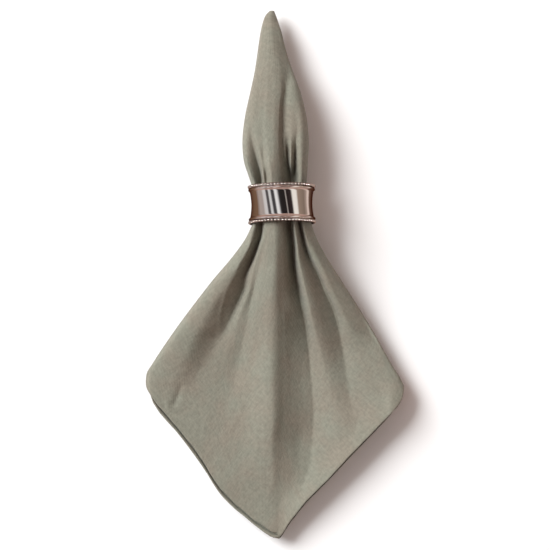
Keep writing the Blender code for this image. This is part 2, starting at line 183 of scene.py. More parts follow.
# Where the fold lines cross some of the photo's pixel rows, and how high they stand there in millimetres.
# A height with a sign is over or under the plain front, one without is over the floor.
FOLD_ROWS = {
    # pixel row: pixel column and height of each fold line, the left eight and the right eight
    5: ("263:+0 264:+0 265:+0 266:+0 268:+0 269.5:+0 271:+0 273:+0",
        "274:+0 274.5:+0 275:+0 275.5:+0 276:+0 276.5:+0 277:+0 277.5:+0"),
    40: ("260.2:+0.3 261.5:+0.4 262.5:+0.2 263.5:+0 266.5:+0 269.5:+0.3 272:+0.3 275:-0.3",
         "278:-0.8 279:-0.9 280:-0.8 281:-0.6 282:-0.4 282.5:-0.2 283:+0 283.5:+0"),
    60: ("257.6:+0.8 258.4:+0.7 259.5:+0.3 261.5:+0 265.5:+0 269:+0.3 273:+0.3 278:-0.4",
         "282.5:-1.6 284:-2.0 285.5:-2.0 286.8:-1.8 288:-1.4 289:-0.8 289.8:-0.3 290.4:+0"),
    76: ("255:+1 256:+0.8 257.5:+0.4 260.5:+0 264.5:+0 268.5:+0.4 274:+0.4 279.5:-0.4",
         "285.4:-2.4 287.6:-3.0 289.4:-2.9 290.8:-2.3 292:-1.7 293.2:-1.1 294.2:-0.6 295:+0"),
    90: ("252.4:+1.2 253.6:+1 256:+0.5 259.4:+0 263.4:+0 267.8:+0.4 273.4:+0.4 280.6:-0.6",
         "285.6:-3.8 287:-3.4 289.4:-2.4 291.8:-1.4 293.8:-0.9 295.4:-0.5 296.8:-0.2 297.8:+0"),
    98: ("250.6:+1.2 252:+1 255:+0.5 259:+0 263:+0 267.5:+0.4 273.4:+0.4 280:-0.7",
         "284.4:-4.0 286.6:-3.8 289:-2.9 292.4:-1.9 296:-1 299.4:-0.4 301.4:-0.1 302.4:+0"),
    112: ("247.2:+1.2 249:+1 253:+0.5 257.5:+0 262:+0 266.6:+0.5 272.8:+0.4 278.8:-0.8",
          "282.8:-4.8 285:-4.6 287.8:-3.8 291.6:-3.0 296:-2 300.6:-0.6 303:-0.2 304.6:+0"),
    125: ("245:+1.2 247.5:+0.9 252:+0.2 257:+0 262:-0.1 266.8:+0.4 272.4:+0.5 278.4:-0.9",
          "282.8:-5.4 285:-5.0 288:-4.2 291.6:-3.2 296.4:-2.6 301:-0.8 304:-0.2 306:+0"),
    135: ("244.6:+1.0 247:+0.6 251:-1.2 256:-0.6 262:-0.6 267.6:+0.3 271.8:+0.4 278:-0.9",
          "282.4:-5.9 284.4:-5.4 287.4:-4.6 291.8:-2.8 296.6:-3 301:-0.6 304:+0 306.4:+0"),
    143: ("244.4:+1.1 247:+0.2 252.4:-3.2 257.6:-1.2 262.4:-1.2 268:+0.3 272:+0.3 278:-1",
          "282.8:-6.6 284.6:-6 287:-8 291:-3.4 295.8:-4.8 300.8:-0.6 304:+0 306.4:+0"),
    150: ("244.6:+0.4 247:-0.7 254.4:-5.6 259.4:-1.6 262.8:-2.2 269:+0.2 272:+0.2 278.4:-1.4",
          "283.2:-7.6 285:-7 287.2:-11 291:-3.8 295.4:-7.6 300.4:-1 303.8:+0 306:+0"),
    158: ("246:+0 248:-1.4 256.4:-8.6 260.8:-1.8 263.6:-2.4 269.6:+0 272.2:+0 279:-2",
          "284:-8.6 285.8:-8.8 287.8:-12.6 291:-4 295:-9.4 300:-1.4 303.2:+0 305.6:+0"),
    165: ("247.4:-0.2 249:-1.8 258.2:-11 262:-2 264.6:-2.2 270:+0 272.8:-0.4 279.6:-3",
          "285:-10 286.6:-11 288.6:-14 290.9:-5.4 294.8:-10.8 299.8:-1.6 302.8:+0 305:+0"),
    176: ("250.8:-0.2 252.4:-2 261:-13.8 263.6:-1.6 266.2:-4 271.6:+0 273.6:-0.6 280.4:-4",
          "285:-9.8 288:-14 290.6:-17 293:-15.6 294.8:-15.6 300:-2 303:+0 305:+0"),
    190: ("251:+1 252.4:+2 261.4:-13 264.6:+0 267:-0.8 271:+0 273.8:+0 281:-3.2",
          "285.4:-9.5 288:-14 290.8:-16 293:-12 294.8:-12 300.4:+0 304:+0 306:+0"),
    226: ("249.8:+0.6 252.4:+0.6 262.2:-13 265:+0 267.2:+0 270:+0 274:+0 282.4:-3",
          "286:-8 288.8:-13 291.6:-17 294.6:+0 300:-9.5 303.6:+0 307:-0.3 310.6:+0"),
    235: ("246.4:+0.8 250:+0.8 261.6:-13.5 264.4:+0 266.4:+0 269:+0.2 274.4:+0.5 282.6:-2.6",
          "286.6:-7.5 289.4:-13 292.4:-17 295.8:+0.3 302.4:-9.5 306:+0.5 310:+0.6 313.6:+0.3"),
    245: ("242.4:+1 248.6:+1.2 258.2:-13.5 261.4:+0 264:-0.2 268:+0.3 274.6:+0.4 283.4:-2.8",
          "287.2:-7 290:-12.5 293.4:-17 297.4:+0.5 304.4:-9.5 308.6:+0.6 313:+1.8 318:+0.5"),
    260: ("233.5:+0 241:22.4 252.6:13.2 256.4:28 260.2:29.4 265.2:32 273.8:34.4 283:31.6",
          "287:27.8 290.2:22 293.8:16 299:32.4 310.4:23 314.2:29.2 319:29.8 325.6:25"),
    275: ("223:+2.2 231:20.4 246:11.6 252.4:23.2 256.4:24.2 262.6:28.4 272.6:32 283.5:28.6",
          "287.6:25.2 291:20.2 295.4:14.8 302.4:30.4 318.4:20.6 322.2:27.4 326.6:27.8 335.6:23.4"),
    290: ("208.6:+3.0 221:18.2 243.2:8.6 249.4:19.4 253.6:19.4 259.6:24 271.8:28.8 283:25.6",
          "288:22.4 292:18.6 298.6:12.4 306:27.6 324.8:18.2 328.6:24.2 333:25 346:20.4"),
    305: ("198:+4.2 210.6:16.9 236.4:6.4 244:15 250:15.2 257.4:20.4 272:25.6 283:22.6",
          "289.4:19.8 294.4:16.8 301.4:11.6 309.6:24.6 332.2:15.2 336.4:21.2 340:22 354.6:18"),
    320: ("187:+4.4 202:15.7 229.6:6.3 239:11 247:11.8 256.4:16.6 272:22.4 284:19.4",
          "290:16 297:12.6 304.8:8.8 312.6:21.2 337:12.2 343:18 347:19 363.4:15.4"),
    335: ("176:+4.7 193.6:14.4 222.4:6.3 234.5:8.4 244:8.8 254.6:13.2 271.8:19.4 284:16",
          "292:12.2 299:9 307:6 317:17.8 340.4:10.2 348:15.6 354.6:16.2 371:13"),
    350: ("166.2:+3.6 186:12.7 214.8:6.3 229.4:6.9 241:6.6 253:10.6 271.6:17.6 284:14.2",
          "292:10.6 300.6:7.6 309:4.8 321.6:14.6 343:8.8 357:13.4 365:14.2 382:+0"),
    365: ("156:+2.2 178.6:10.8 206.6:6.3 223:6.2 238:5.8 251:9.6 271.2:17 284:13",
          "292:9.8 300.6:7 310.4:4.6 325.6:12.2 345.4:8.4 359:12.2 369:13.4 390:+0"),
    380: ("150.4:+1.1 171:9.3 197:6.6 214:6.2 234.4:5.9 248:9.6 271:16.8 284:12.6",
          "292:9.4 301:6.6 311.5:4.5 330:11.2 347.6:8.9 362:12 375:13.6 398:+0"),
    400: ("154:8.8 163:8.8 185:7.8 208:7.1 228.6:6.8 246:9.4 272:17 284:13",
          "292:9.8 302:6.8 313:4.6 334:11 350.6:10 366:12.8 383:15.4 393:+0"),
    420: ("155:8.6 159:8.6 177:8.5 204:8.2 226:8 242:9.6 272.6:16.4 283:12.6",
          "292:9.6 303:6.6 313.5:4.6 338:12.4 357:13.6 371:17 389:20 394:+0"),
    440: ("150:9.2 153:9.2 168:9 198:8.8 221:8.8 238:9.6 270.6:15 280.6:12",
          "290:9 300:6.2 312:5 336:12.6 352:15.6 373:19.6 391:21 396:+0"),
    460: ("147:9.2 149:9.2 163:9.2 192:9.2 215:9.4 236:10 271:13.2 280.5:11.2",
          "290.6:9 300.6:7.2 310:6.6 331:13 342:18 375:20 393:21 398:+0"),
    480: ("145:9.5 147:9.5 158:9.5 186:9.6 209:10 237:10.8 272:12 279.6:10.8",
          "288:9.8 296:9 305:8.8 316:14.0 328:18 377:20 395:21 400:+0"),
    500: ("144:+0 146:+0 155:+0 182:+0 203:+0.2 240:+0.5 268:+0.8 276:+0.1",
          "282:-0.8 288:-1.5 295:-1.9 305:-1.3 319:+0 381:+0 397:+0 401:+0"),
    540: ("143:+0 145:+0 152:+0 178:+0 200:+0 262:+0 272:+0.3 276:+0",
          "280:-0.2 283:-0.3 287:-0.1 300:+0 315:+0 382:+0 398:+0 402:+0"),
}

# How the readings are turned to places: a first height, how often it is put right, how far below the hem a
# place still counts as on it, and the digits that are kept of a millimetre
FIRST_HEIGHT = 20.0
READING_PASSES = 3
HEM_REACH = 3.0
READING_DIGITS = 1

# How far the back is pressed in, round the loop at the same sections
BACK_STATIONS = (0, 4, 6, 8, 11, 15, 16.0, 17.5, 19.5, 22.0, 25.0)
BACK_HEIGHTS = (
    # loop, pinched: tip, upper, shoulder, belly, collar, foot, then five down the skirt to the hem
    (-2.00, 0.0, 0, 0, 0, 0, 0, 0, 0, 0, 0, 0, 0),
    (-1.78, 0.0, 0, 0, 0, 0, 0, 0, 0, 0, 0, 0, 0),
    (-1.55, 0.5, 0, 0, 1, 3, 6, 6, 2, 0, 0, 0, 0),
    (-1.28, 0.0, 0, 0, 0, 0, 0, 0, 0, 0, 0, 0, 0),
    (1.25, 0.0, 0, 0, 0, 0, 0, 0, 0, 0, 0, 0, 0),
    (1.50, 0.5, 0, 0, 1, 3, 7, 7, 2, 0, 0, 0, 0),
    (1.76, 0.0, 0, 0, 0, 0, 0, 0, 0, 0, 0, 0, 0),
    (2.00, 0.0, 0, 0, 0, 0, 0, 0, 0, 0, 0, 0, 0),
)

# How far the hem and the right fold stand off the table: shares down the skirt, then rises round the loop
HEM_LIFT_ALONG = ((0.0, 0.0), (0.45, 0.0), (0.7, 0.12), (0.88, 0.55), (1.0, 1.0))
HEM_LIFT = (
    (-2.0, 0.0), (-1.0, 0.0), (-0.91, 0.6), (-0.74, 0.2), (-0.51, -0.4), (-0.38, 0.2), (-0.18, 0.6),
    (0.0, 2.2), (0.12, 5.2), (0.20, 7.6), (0.40, 11.2), (0.66, 13.2), (0.80, 11.0), (0.90, 7.4),
    (1.0, 4.5), (1.2, 1.5), (1.5, 0.0), (2.0, 0.0),
)
FOLD_LIFT_ALONG = ((0.0, 0.0), (0.1, 0.5), (0.22, 1.0), (0.4, 1.0), (0.6, 0.9), (0.9, 0.7), (1.0, 0.4))
FOLD_LIFT = (
    (-2.0, 0.0), (0.7, 0.0), (0.85, 1.8), (0.95, 4.6), (1.0, 6.0), (1.1, 4.6), (1.3, 1.2), (1.5, 0.0),
    (2.0, 0.0),
)

# Smaller creases of the front, as soft ridges and troughs along a line seen from above
CREASES = {
    # name: rows of x, y, height, half width
    "lip": (
        (-22.8, 14.0, 0.0, 1.0),
        (-26.2, 0.0, 0.5, 1.1),
        (-32.2, -10.0, 0.5, 1.2),
        (-35.6, -20.5, 0.6, 1.2),
        (-37.8, -30.5, 0.5, 1.3),
        (-37.6, -42.0, 0.0, 1.6),
    ),
    "left corner upper wrinkle": (
        (-77.0, -71.0, 0.0, 1.2),
        (-71.0, -67.5, -0.45, 1.3),
        (-65.5, -64.5, -0.35, 1.4),
        (-58.0, -60.5, 0.0, 1.6),
    ),
    "left corner lower wrinkle": (
        (-70.0, -91.0, 0.0, 1.3),
        (-67.8, -86.5, -1.3, 1.4),
        (-65.4, -81.0, -1.0, 1.6),
        (-62.5, -73.0, 0.0, 2.0),
    ),
    "left hem pucker": (
        (-75.0, -84.0, 0.0, 0.9),
        (-73.2, -87.0, 0.7, 1.0),
        (-72.8, -91.5, 0.5, 1.0),
        (-71.0, -94.5, 0.0, 0.9),
    ),
    "upper slanting crease": (
        (-33.5, -103.0, 0.0, 1.0),
        (-30.5, -98.5, -0.25, 1.0),
        (-26.5, -91.5, -0.25, 1.0),
        (-24.0, -87.0, 0.0, 1.0),
    ),
    "lower slanting crease": (
        (-31.0, -110.5, 0.0, 1.0),
        (-28.0, -106.0, -0.25, 1.0),
        (-24.0, -99.5, -0.25, 1.0),
        (-21.5, -95.0, 0.0, 1.0),
    ),
    "left hem crease": (
        (-47.5, -129.0, 0.0, 0.9),
        (-44.5, -127.5, -0.3, 1.0),
        (-40.5, -124.5, -0.2, 1.2),
        (-36.0, -121.0, 0.0, 1.4),
    ),
}

# Cloth layers from the outer one in: columns in front and on each flap, depth where gathered and at the hem
LAYERS = (
    # front columns, flap columns, gathered depth, hem depth
    (200, 24, 0.0, 0.0),
    (40, 8, 0.9, 0.8),
    (40, 8, 1.6, 2.6),
    (70, 12, 2.2, 3.4),
)
SPIRE_ROWS_EACH = 6
SKIRT_ROWS = 104
FRONT_EASE = 0.08
FLAP_EASE = 1.6

# How the inner layers follow the outer one: the depth grows down the skirt by this power, and the sides are
# drawn in over this many depths. A point that is a hair further off than the depth still counts.
DEPTH_POWER = 4
DRAWN_IN_OVER = 3.0
JUST_OVER = 1.0001

# The hem, rolled under: how far the lower pair's edge shows outside the upper pair's, over which share of the
# loop it narrows at the sides and to what share, the power by which that shortens the skirt's rows, how many
# rows back its direction is read, and how it wavers
HEM_OUT_LEFT = 3.9
HEM_OUT_RIGHT = 1.0
HEM_NARROWS_OVER = 0.05
HEM_LEAST = 0.1
HEM_SHORT_POWER = 6
HEM_ROWS_BACK = 3
HEM_WAVES = (
    # share of the hem's width, radians for a unit of the loop, start
    (0.10, 23, 2),
    (0.08, 61, 0),
)

# The rolled edge of each pair of layers
UPPER_ROLL = (
    # outwards as a share of the lower hem's width, rise in millimetres
    (0.02, -0.04), (0.05, -0.16), (0.06, -0.36), (0.05, -0.60), (0.00, -0.82), (-0.15, -0.95), (-0.60, -0.95),
    (-1.20, -0.95), (-1.80, -0.95),
)
LOWER_ROLL = (
    (0.28, -0.2), (0.36, 0.7), (0.46, 1.1), (0.62, 1.5), (0.80, 1.9), (0.93, 1.8), (1.00, 1.1), (0.94, 0.2),
    (0.30, -0.3),
)

# The ring, its axis along Y: a waisted tube with a moulding and a seat for beads at each rim
RING_CENTRE = (4.2, 45.7, 23.0)
RING_TURN_DEG = 1.0
RING_HALF = 13.0
WAIST_RADIUS = 20.6
NECK_RADIUS = 21.5
NECK_AT = 8.7
NECK_GAP = 0.2
BORE_WALL = 1.1
MOULDING_RADIUS = 0.95
MOULDING_SEAT = 21.6
MOULDING_AT = 9.9
MOULDING_GAP = 0.1
MOULDING_ARC_DEG = (78, -80)
BEAD_SEAT = 21.55
SEAT_WIDTH = 0.9
RIM_ROUND = 0.35
RIM_ARC_DEG = (90, 0)
BEAD_RADIUS = 0.95
BEAD_CENTRE = 22.05
BEAD_AT = 12.0
BEADS = 58

# How finely the ring is made: points of each part of its section, steps round, and the least sharp edge
RIM_POINTS = 4
MOULDING_POINTS = 12
WAIST_POINTS = 24
BORE_POINTS = 20
RING_STEPS = 160
SHARP_DEG = 50
WELD = 1e-6

# The linen: thread spacing, the size of the slubs and of the mottling in millimetres of flat cloth, and what
# they do to its colour, lightness and relief. The spacing is the coarsest that is usual for a napkin,
# because finer threads don't show in the render.
THREAD = 0.62
SLUB_LENGTH = 4.5
SLUB_WIDTH = 1.5
MOTTLE = 24.0
LINEN_GREEN = "7E7E72"
LINEN_BROWN = "807B6F"
CAST_RANGE = (0.35, 0.65)
SLUB_RANGE = (0.7, 1.3)
SLUB_LIGHTNESS = (0.89, 1.11)
WEAVE_TO_SLUBS = 0.35
RELIEF = 0.3
RELIEF_STRENGTH = 0.55

# The silver: its colour ahead, and a brown tint at a grazing look that is a painted reflection of a brown
# table, its rub marks to a millimetre and what they do to its roughness, and where the painted shade on the rim
# under the beads starts and is full, from the ring's middle
SILVER = "E2DEDA"
SILVER_EDGE_PAINTED_REFLECTION = "8C6050"
RIM_PAINTED_SHADE = "3A302A"
RUB_MARKS = 0.26
RUB_ROUGHNESS = (0.04, 0.09)
RIM_SHADE_FROM = 11.0
RIM_SHADE_FULL = 11.4

# Colour sockets of a Mix node
MIX_FIRST = 6
MIX_SECOND = 7
MIX_RESULT = 2

# The floor: its half width and how far under the napkin it lies, in metres
FLOOR_WHITE = "EFEFEF"
FLOOR_REACH = 3.0
FLOOR_DROP = 0.0001

# The key light from the upper left: which way it stands from the napkin, its distance and size in metres,
# its watts, and its red, green and blue
KEY_WAY = (-0.92, 0.49, 0.90)
KEY_DISTANCE = 5.2
KEY_SIZE = 3.0
KEY_WATTS = 430.0
KEY_COLOUR = (0.96, 0.99, 1.0)

# The lamp that gives each bead its glint
GLINT_WAY = (-0.15, -0.05, 1.0)
GLINT_DISTANCE = 3.0
GLINT_SIZE = 0.8
GLINT_WATTS = 80.0
GLINT_COLOUR = (1.0, 1.0, 1.0)

# What the ring mirrors and what fills the shadows, by degrees to the right of straight up: a dark ceiling
# with pale strips and cards, and a brown table below. The strips slant by the given degrees, and turn to one
# warm colour, as linear numbers, towards the napkin's two ends.
ROOM_STRIPS = (
    # degrees, colour
    (-180, "836652"), (-107, "836652"), (-100, "A0908A"), (-93, "B8AAA4"), (-77, "B4A8A4"), (-72, "D8D4D4"),
    (-62, "E4E2E4"), (-57, "585456"), (-50, "585456"), (-46, "E4E4E6"), (-41, "E4E4E6"), (-36, "484648"),
    (-27, "504E50"), (-23, "FAFAFC"), (-16, "F4F4F6"), (-9, "403C3C"), (-3, "2C2828"), (13, "2A2424"),
    (15, "B0A8A4"), (17, "B0A8A4"), (19, "2A2222"), (36, "3A3030"), (42, "FFFAF4"), (56, "FFFAF4"),
    (63, "A08C7E"), (90, "8C7A6E"), (103, "B8A49A"), (109, "F0DCD2"), (116, "F0DCD2"), (122, "7C6458"),
    (145, "5E3E34"), (180, "836652"),
)
ROOM_SLANT = -17.0
ROOM_ENDS = (0.71, 0.47, 0.40, 1.0)
ENDS_FROM = 0.45
ENDS_FULL = 0.75


def curve(at, knots, values):
    """The smooth curve through the knots, read at the given places."""
    at = np.asarray(at, float)
    knots = np.asarray(knots, float)
    values = np.asarray(values, float)
    slopes = np.gradient(values, knots)
    i = np.clip(np.searchsorted(knots, at) - 1, 0, len(knots) - 2)
    width = knots[i + 1] - knots[i]
    t = (at - knots[i]) / width
    ends = (1 + 2 * t) * (1 - t) ** 2 * values[i] + t**2 * (3 - 2 * t) * values[i + 1]
    return ends + width * t * (1 - t) * ((1 - t) * slopes[i] - t * slopes[i + 1])


def fold_curve(at, knots, values, sharp):
    """A curve that never overshoots its knots: level at round crests and valleys, pinched at sharp ones.

    Each place has its own column of knots and values. A pinch fades where one of its sides is nearly level.
    """
    width = np.diff(knots, axis=0)
    rise = np.diff(values, axis=0) / width
    before = np.zeros_like(values)
    after = np.zeros_like(values)
    gentle, steep = np.sort(np.abs([rise[:-1], rise[1:]]), axis=0)
    fade = np.minimum(1, PINCH_FADE * gentle / np.maximum(steep, LEAST_SLOPE))
    pinch = np.asarray(sharp)[1:-1, None] * fade
    before[1:-1] = 2 * pinch * rise[:-1]
    after[1:-1] = 2 * pinch * rise[1:]
    through = rise[:-1] * rise[1:] > 0
    steady = 2 * rise[:-1] * rise[1:] / np.where(through, rise[:-1] + rise[1:], 1)
    before[1:-1] = np.where(through, steady, before[1:-1])
    after[1:-1] = np.where(through, steady, after[1:-1])
    k = np.clip((knots <= at).sum(axis=0) - 1, 0, len(knots) - 2)

    def pick(table, rows):
        return np.take_along_axis(table, rows[None, :], axis=0)[0]

    w = pick(width, k)
    t = np.clip((at - pick(knots, k)) / w, 0, 1)
    level = (1 + 2 * t) * (1 - t) ** 2 * pick(values, k) + t**2 * (3 - 2 * t) * pick(values, k + 1)
    return level + w * t * (1 - t) * ((1 - t) * pick(after, k) - t * pick(before, k + 1))


def in_columns(column, like):
    """The same column of numbers for every place."""
    return np.repeat(np.asarray(column, float)[:, None], len(like), axis=1)


def under_pixel(column, row, height):
    """Plan place of what the photo shows at this pixel, where it stands this high."""
    tilt = math.radians(CAMERA_TILT_DEG)
    target_x, target_y, target_z = CAMERA_TARGET
    right = (column - PHOTO_SIDE / 2) * PIXEL / CAMERA_DISTANCE
    up = (PHOTO_SIDE / 2 - row) * PIXEL / CAMERA_DISTANCE
    rise = height - target_z
    near = CAMERA_DISTANCE - rise * math.cos(tilt)
    beyond = (up * near - rise * math.sin(tilt)) / (math.cos(tilt) - up * math.sin(tilt))
    return target_x + right * (near + beyond * math.sin(tilt)), target_y + beyond


def plain_front():
    """The front before it is folded: for each place round the loop x, y and height, from the hem up."""
    loop = np.linspace(-2, 2, FINE_COLUMNS)
    level = np.zeros_like(loop)
    rows = [outer_section(loop, station, level, folded=False) for station in stations_down()[::-1]]
    return np.array(rows)[:, :, np.abs(loop) <= 1].T


def plain_height(x, y, front):
    """Height of the front before it is folded, at each of these places."""
    across = np.array([np.interp(y, down[1], down[0]) for down in front])
    over = np.array([np.interp(y, down[1], down[2]) for down in front])
    there = y > front[:, 1, :1] - HEM_REACH
    heights = []
    for place, on, places, found in zip(x, there.T, across.T, over.T):
        order = np.argsort(places[on])
        heights.append(np.interp(place, places[on][order], found[on][order]))
    return np.array(heights)


@functools.cache
def fold_paths():
    """The fold lines seen from above: for each its y, x and height over the plain front, the hem first."""
    readings = [item.split(":") for halves in FOLD_ROWS.values() for item in " ".join(halves).split()]
    count = len(FOLD_LINES)
    row = np.repeat(list(FOLD_ROWS), count)
    column = np.array([float(place) for place, _ in readings])
    height = np.array([float(read) for _, read in readings])
    over_plain = np.array([read[0] in "+-" for _, read in readings])
    front = plain_front()
    z = np.full_like(column, FIRST_HEIGHT)
    for _ in range(READING_PASSES):
        x, y = under_pixel(column, row, z)
        plain = plain_height(x, y, front)
        z = np.where(over_plain, plain + height, height)
    table = np.round([y, x, z - plain], READING_DIGITS)
    return [table[:, line::count][:, ::-1] for line in range(count)]


def fold_height(x, y, left, right):
    """Height of the folds over the plain section of the front, between its two edges."""
    places, heights, sharp = [left], [np.zeros_like(x)], [0.0]
    count = len(FOLD_LINES)
    for number, (pinched, path) in enumerate(zip(FOLD_LINES.values(), fold_paths())):
        at = np.clip(y, path[0, 0], path[0, -1])
        place = np.maximum(curve(at, path[0], path[1]), places[-1] + LEAST_STEP)
        places.append(np.minimum(place, right - LEAST_STEP * (count - number)))
        heights.append(curve(at, path[0], path[2]))
        sharp.append(pinched)
    places.append(right)
    heights.append(np.zeros_like(x))
    sharp.append(0.0)
    return fold_curve(x, np.array(places), np.array(heights), sharp)


def back_height(loop, station):
    """How far the back is pressed in, round the loop at one station."""
    rows = np.array(BACK_HEIGHTS, float)
    at_station = np.array([curve(station, BACK_STATIONS, row[2:]) for row in rows])
    height = fold_curve(loop, in_columns(rows[:, 0], loop), in_columns(at_station, loop), rows[:, 1])
    return np.maximum(height, 0)


def lift(loop, along):
    """How far the loose hem and the right fold stand up off the table."""
    total = np.zeros_like(loop)
    for down, round_loop in ((HEM_LIFT_ALONG, HEM_LIFT), (FOLD_LIFT_ALONG, FOLD_LIFT)):
        share, where = np.array(down).T, np.array(round_loop).T
        total += curve(along, share[0], share[1]) * curve(loop, where[0], where[1])
    return total


def crease_height(x, y):
    """Height of the smaller creases at these places, seen from above."""
    total = np.zeros_like(x)
    for rows in CREASES.values():
        nearest = np.full_like(x, np.inf)
        height = np.zeros_like(x)
        half = np.ones_like(x)
        for (ax, ay, ah, aw), (bx, by, bh, bw) in zip(rows, rows[1:]):
            length = (bx - ax) ** 2 + (by - ay) ** 2
            t = np.clip(((x - ax) * (bx - ax) + (y - ay) * (by - ay)) / length, 0, 1)
            apart = np.hypot(x - ax - t * (bx - ax), y - ay - t * (by - ay))
            closer = apart < nearest
            nearest = np.where(closer, apart, nearest)
            height = np.where(closer, ah + (bh - ah) * t, height)
            half = np.where(closer, aw + (bw - aw) * t, half)
        total += height * np.exp(-((nearest / half) ** 2))
    return total


def body_row(loop, station):
    """Plan and heights of one section between the tip and the ring's foot."""
    table = np.array(SECTIONS).T
    y, left, right, bottom, side, top, square = (curve(station, range(len(SECTIONS)), v) for v in table)
    folds = np.array(FOLDS).T
    among = min(max(station, FOLD_SECTIONS[0]), FOLD_SECTIONS[-1])
    shares = [curve(among, FOLD_SECTIONS, v) for v in folds[1:].T]
    spread = fold_curve(loop, in_columns(folds[0], loop), in_columns(shares, loop), np.zeros(len(shares)))
    front = left + (right - left) * spread
    middle = (left + right) / 2
    slot = min(BACK_GAP, SLOT_SHARE * (right - left) / 2)
    back = np.abs(loop) - 1
    edge = np.where(loop < 0, left, right)
    inner = middle + np.sign(loop) * slot / 2
    x = np.where(back > 0, edge + (inner - edge) * back, front)
    return x, np.full_like(x, y), (bottom, side, top, square)


def hem_line(loop):
    """Where each column ends: on the hem in front, on the flaps' level hem behind."""
    table = np.array(HEM).T
    x = curve(loop, table[0], table[1])
    y = curve(loop, table[0], table[2])
    back = np.abs(loop) - 1
    corner_x = np.where(loop < 0, HEM[0][1], HEM[-1][1])
    corner_y = np.where(loop < 0, HEM[0][2], HEM[-1][2])
    inner = np.sign(loop) * BACK_GAP / 2
    return (np.where(back > 0, corner_x + (inner - corner_x) * back, x),
            np.where(back > 0, corner_y + (FLAP_HEM_Y - corner_y) * back, y))


def skirt_row(loop, along):
    """Plan and heights of one row of the skirt; along may differ from column to column."""
    x0, y0, _ = body_row(loop, FOOT)
    x1, y1 = hem_line(loop)
    table = np.array(SKIRT).T
    left_fan, right_fan = curve(along, table[0], table[1]), curve(along, table[0], table[2])
    fan = left_fan + (right_fan - left_fan) * (np.clip(loop, -1, 1) + 1) / 2
    heights = tuple(curve(np.max(along), table[0], v) for v in table[3:])
    return x0 + (x1 - x0) * fan, y0 + (y1 - y0) * along, heights


def outer_section(loop, station, short, folded=True):
    """The napkin's outside round one section: plan places and heights, with its folds or before them."""
    along = max(0.0, station - FOOT)
    if along > 0:
        x, y, heights = skirt_row(loop, along - short * along**HEM_SHORT_POWER)
    else:
        x, y, heights = body_row(loop, station)
    bottom, side, top, square = heights
    left, right = x[np.argmin(np.abs(loop + 1))], x[np.argmin(np.abs(loop - 1))]
    share = np.clip(np.abs(x - (left + right) / 2) / ((right - left) / 2), 0, 1)
    swell = (1 - share**square) ** (1 / square)
    front = side + (top - side) * swell
    if folded:
        left_at = np.minimum(np.interp(y, *edge_path(-1.0)), x)
        right_at = np.maximum(np.interp(y, *edge_path(1.0)), x + LEAST_WIDTH)
        front = front + fold_height(x, y, left_at, right_at) + crease_height(x, y)
    back = side - (side - bottom) * swell + back_height(loop, station)
    z = np.where(np.abs(loop) > 1, np.maximum(back, 0), front) + lift(loop, along)
    return x, y, z


@functools.cache
def edge_path(loop):
    """Plan of one side fold, y and x, from below its corner, where it goes straight on, up to the tip."""
    points = []
    for station in stations_down():
        along = max(0.0, station - FOOT)
        one = np.array([-1.0, loop, 1.0])
        x, y, _ = skirt_row(one, along) if along > 0 else body_row(one, station)
        points.append((y[1], x[1]))
    points.append((-2 * SKIRT_LENGTH, points[-1][1]))
    return np.array(points[::-1]).T


def deeper_section(loop, x, z, depth):
    """The section this much deeper in the cloth: the front comes down, the back up and the sides in."""
    if depth == 0:
        return x, z
    front = np.abs(loop) <= 1
    left, right = x[np.argmin(np.abs(loop + 1))], x[np.argmin(np.abs(loop - 1))]
    middle, half = (left + right) / 2, (right - left) / 2
    reach = min(depth, (1 - CORE_SHARE) * half)
    inwards = reach * np.exp((np.abs(x - middle) - half) / (DRAWN_IN_OVER * reach))
    place = x - inwards * (x - middle) / half
    heights = {}
    for side, sign in ((front, 1), (~front, -1)):
        apart = np.abs(place[side][:, None] - x[side][None, :])
        drop = np.sqrt(np.clip(reach**2 - apart**2, 0, None))
        sunk = np.where(apart <= reach * JUST_OVER, sign * z[side][None, :] - drop, np.inf).min(axis=1)
        heights[sign] = sign * sunk
    order = np.argsort(place[~front])
    under = np.interp(place[front], place[~front][order], heights[-1][order])
    over = np.interp(place[~front], place[front], heights[1])
    new = np.empty_like(z)
    new[front] = np.maximum(heights[1], (heights[1] + under) / 2)
    new[~front] = np.minimum(heights[-1], (heights[-1] + over) / 2)
    return place, new


def stations_down():
    """Rows of the cloth: even steps between the sections, then even shares of the skirt."""
    spire = np.linspace(0, FOOT, FOOT * SPIRE_ROWS_EACH + 1)
    skirt = FOOT + np.arange(1, SKIRT_ROWS + 1) / SKIRT_ROWS
    return np.concatenate([spire, skirt])


def hem_out(loop):
    """How far the lower hem shows outside the upper one, round the loop."""
    from_side = np.clip((1 - np.abs(loop)) / HEM_NARROWS_OVER, HEM_LEAST, 1)
    uneven = 1 + sum(size * np.sin(turns * loop + start) for size, turns, start in HEM_WAVES)
    return np.where(loop < 0, HEM_OUT_LEFT, HEM_OUT_RIGHT) * from_side * uneven


def layer_rows(columns, layer):
    """Points of one layer of the cloth: a row for each station, a column for each place round the loop."""
    _, _, gathered_depth, hem_depth = layer
    loop = np.union1d(columns, np.linspace(-2, 2, FINE_COLUMNS))
    keep = np.searchsorted(loop, columns)
    short = hem_out(loop) / SKIRT_LENGTH
    rows = []
    for station in stations_down():
        along = max(0.0, station - FOOT)
        x, y, z = outer_section(loop, station, short)
        depth = gathered_depth + (hem_depth - gathered_depth) * along**DEPTH_POWER
        x, z = deeper_section(loop, x, z, depth)
        rows.append(np.stack([x, y, z], axis=-1)[keep])
    return np.array(rows)


